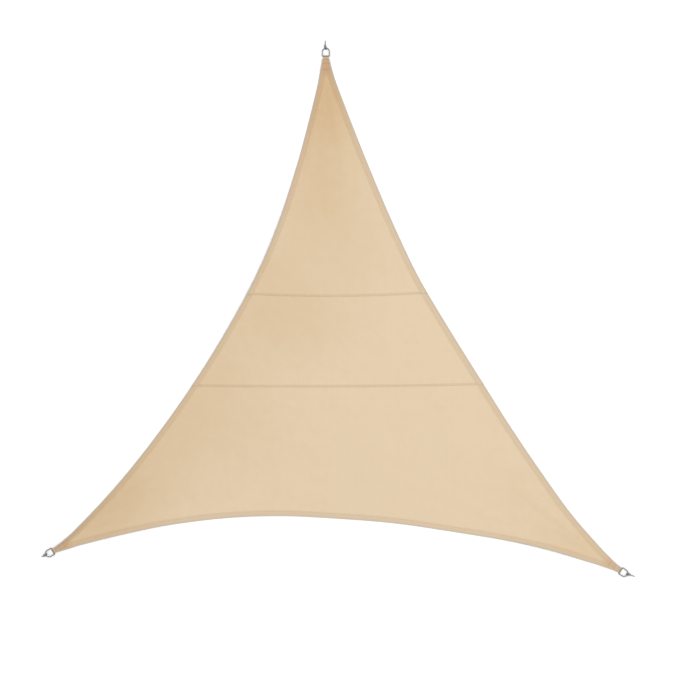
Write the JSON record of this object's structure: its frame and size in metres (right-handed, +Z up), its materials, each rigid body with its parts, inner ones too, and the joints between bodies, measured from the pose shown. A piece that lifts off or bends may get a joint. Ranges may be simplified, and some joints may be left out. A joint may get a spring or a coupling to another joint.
{
  "type": "shade sail",
  "caption": "Triangular woven shade sail laid flat, with hemmed inward-bowed sides, lapped seams, and at each corner a webbing loop, a steel D-ring and a short knotted cord tie.",
  "frame": {"origin": "middle of the sail's box, without its cord ties, on the flat surface that it lies on", "axes": "+Y towards the top corner, +X towards the lower right corner, +Z up from the surface, out of the face that carries the folded hems"},
  "size_m": [3.0263, 2.7345, 0.0148],
  "materials": {
    "cloth": "closely woven polyester, matt, light sand beige",
    "webbing": "flat woven polyester webbing, matt, beige",
    "steel": "bent round wire, polished stainless steel",
    "cord": "braided cord, matt, mid grey"
  },
  "bodies": {
    "root": {"panel_top": "cloth", "panel_middle": "cloth", "panel_bottom": "cloth", "loop_top": "webbing", "loop_left": "webbing", "loop_right": "webbing", "ring_top": "steel", "ring_left": "steel", "ring_right": "steel", "tie_top": "cord", "tie_left": "cord", "tie_right": "cord"}
  },
  "joints": []
}
